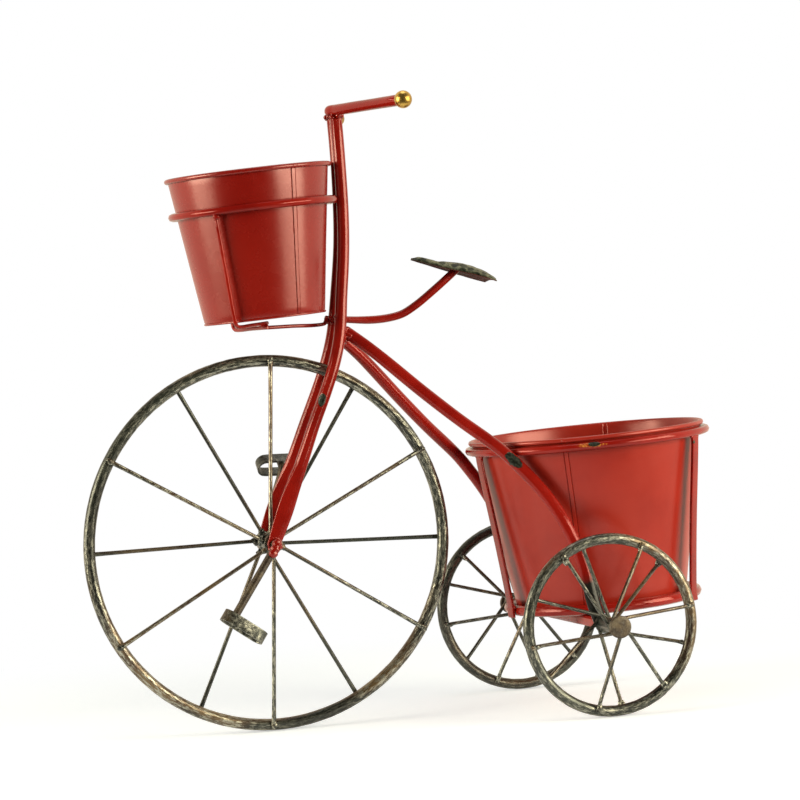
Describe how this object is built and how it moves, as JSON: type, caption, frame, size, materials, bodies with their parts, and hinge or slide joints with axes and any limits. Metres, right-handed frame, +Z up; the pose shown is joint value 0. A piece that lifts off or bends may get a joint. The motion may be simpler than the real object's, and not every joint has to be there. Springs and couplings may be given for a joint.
{
  "type": "tricycle planter",
  "caption": "Decorative metal tricycle with a tall front wheel, a small round pot in a ring before the fork and a large round pot in a basket between the rear wheels.",
  "frame": {"origin": "on the floor, under the middle of the overall length and width", "axes": "+X points to the rear, from the front wheel to the large pot; +Y points to the right side, across the wheels; +Z up"},
  "size_m": [0.649, 0.3432, 0.6175],
  "materials": {
    "red_frame_paint": "satin red paint, chipped at the welds",
    "red_pot_paint": "satin red paint on thin sheet",
    "worn_black_steel": "black paint rubbed back with silver and bronze",
    "bronzed_steel": "dark bronze paint",
    "brass": "polished",
    "hammered_dark_metal": "hammered dark green paint"
  },
  "bodies": {
    "frame": {"fork_bridge": "red_frame_paint", "fork_tube_left": "red_frame_paint", "fork_tube_right": "red_frame_paint", "frame_tube_left": "red_frame_paint", "frame_tube_right": "red_frame_paint", "front_pot_ring": "red_frame_paint", "front_pot_stay": "red_frame_paint", "front_wire_left": "red_frame_paint", "front_wire_right": "red_frame_paint", "grip_ball_left": "brass", "grip_ball_right": "brass", "handlebar": "red_frame_paint", "rear_axle": "bronzed_steel", "rear_cap_left": "bronzed_steel", "rear_cap_right": "bronzed_steel", "rear_cross_tube": "red_frame_paint", "rear_lower_hoop": "red_frame_paint", "rear_upper_hoop": "red_frame_paint", "rear_upright_front": "red_frame_paint", "rear_upright_left": "red_frame_paint", "rear_upright_right": "red_frame_paint", "saddle": "hammered_dark_metal", "seat_post": "red_frame_paint"},
    "front_wheel": {"crank_left": "bronzed_steel", "crank_right": "bronzed_steel", "front_axle": "bronzed_steel", "front_hub": "worn_black_steel", "front_rim": "worn_black_steel", "front_spoke_01": "worn_black_steel", "front_spoke_02": "worn_black_steel", "front_spoke_03": "worn_black_steel", "front_spoke_04": "worn_black_steel", "front_spoke_05": "worn_black_steel", "front_spoke_06": "worn_black_steel", "front_spoke_07": "worn_black_steel", "front_spoke_08": "worn_black_steel", "front_spoke_09": "worn_black_steel", "front_spoke_10": "worn_black_steel", "front_spoke_11": "worn_black_steel", "front_spoke_12": "worn_black_steel", "pedal_left": "worn_black_steel", "pedal_right": "worn_black_steel"},
    "rear_wheel_left": {"rear_rim_left": "worn_black_steel", "rear_hub_left": "worn_black_steel"},
    "rear_wheel_right": {"rear_rim_right": "worn_black_steel", "rear_hub_right": "worn_black_steel"},
    "front_pot": {"front_pot": "red_pot_paint"},
    "rear_pot": {"rear_pot": "red_pot_paint"}
  },
  "joints": [
    {"name": "front_wheel_spin", "type": "hinge", "parent": "frame", "child": "front_wheel", "pos_m": [-0.13869, 0, 0.1858], "axis": [0, 1, 0], "continuous": true},
    {"name": "rear_wheel_left_spin", "type": "hinge", "parent": "frame", "child": "rear_wheel_left", "pos_m": [0.16281, -0.1423, 0.0895], "axis": [0, 1, 0], "continuous": true},
    {"name": "rear_wheel_right_spin", "type": "hinge", "parent": "frame", "child": "rear_wheel_right", "pos_m": [0.16281, 0.1423, 0.0895], "axis": [0, 1, 0], "continuous": true},
    {"name": "front_pot_lift", "type": "slide", "parent": "frame", "child": "front_pot", "axis": [-0.061, 0, 0.9981], "range_m": [0, 0.16]},
    {"name": "rear_pot_lift", "type": "slide", "parent": "frame", "child": "rear_pot", "axis": [-0.0436, 0, 0.999], "range_m": [0, 0.155]}
  ]
}
